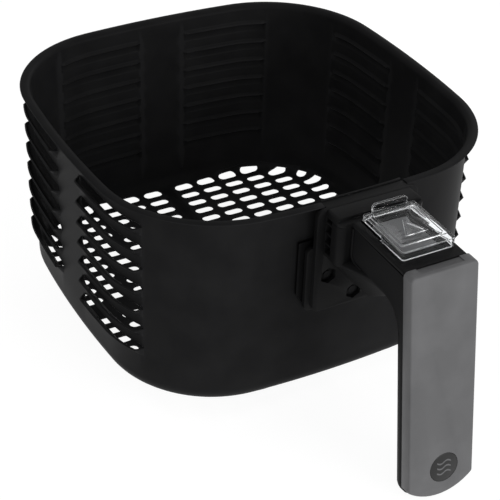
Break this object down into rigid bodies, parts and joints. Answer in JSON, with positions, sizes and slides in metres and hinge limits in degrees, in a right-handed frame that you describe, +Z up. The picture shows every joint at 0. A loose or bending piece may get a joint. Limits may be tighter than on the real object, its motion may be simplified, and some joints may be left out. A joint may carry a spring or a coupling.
{
  "type": "air fryer basket",
  "caption": "Square non-stick air fryer basket with louvred walls, a slotted floor and a two-tone handle with a guarded release button",
  "frame": {"origin": "middle of the underside of the basket's floor", "axes": "+Y from the handle towards the back of the basket, +Z up to the rim, +X across the basket"},
  "size_m": [0.218, 0.3052, 0.135],
  "materials": {
    "nonstick_steel": "semi-matt black non-stick coating on pressed steel",
    "black_steel": "black coated steel",
    "dark_rivet": "dark steel rivet",
    "black_plastic": "fine-grained black moulding",
    "black_cover_plastic": "fine-grained black moulding",
    "zinc_screw": "zinc plated",
    "grey_plastic": "satin grey moulding",
    "badge_black": "satin black badge",
    "black_screw": "black oxide steel",
    "black_nut": "black oxide steel",
    "clear_plastic": "clear polycarbonate",
    "spring_steel": "bright spring steel",
    "grey_button": "satin grey moulding",
    "black_acetal": "black acetal",
    "zinc_bolt": "die-cast zinc"
  },
  "bodies": {
    "basket": {"basket_shell": "nonstick_steel", "wall_bracket": "black_steel", "bracket_rivets": "dark_rivet", "handle_frame": "black_plastic", "neck_cover": "black_cover_plastic", "cover_screws": "zinc_screw", "grip_cover": "grey_plastic", "grip_badge": "badge_black", "grip_screws": "zinc_screw", "mount_screws": "black_screw", "mount_nuts": "black_nut", "guard_detent": "spring_steel", "button_spring": "spring_steel", "latch_cradle": "black_acetal", "cradle_screws": "zinc_screw"},
    "guard": {"safety_guard": "clear_plastic"},
    "button": {"release_button": "grey_button", "button_carrier": "black_acetal"},
    "bolt": {"latch_bolt": "zinc_bolt", "cam_pin": "spring_steel"}
  },
  "joints": [
    {"name": "guard_slide", "type": "slide", "parent": "basket", "child": "guard", "axis": [0, 1, 0], "range_m": [0, 0.015]},
    {"name": "button_press", "type": "slide", "parent": "basket", "child": "button", "axis": [0, 0, -1], "range_m": [0, 0.0036], "stiffness_N_per_m": 300, "springref_m": -0.003, "deforming": ["button_spring"]},
    {"name": "bolt_slide", "type": "slide", "parent": "basket", "child": "bolt", "axis": [0, -1, 0], "range_m": [0, 0.0036]}
  ],
  "couplings": [
    {"joint": "bolt_slide", "follows": "button_press", "ratio": 1}
  ]
}
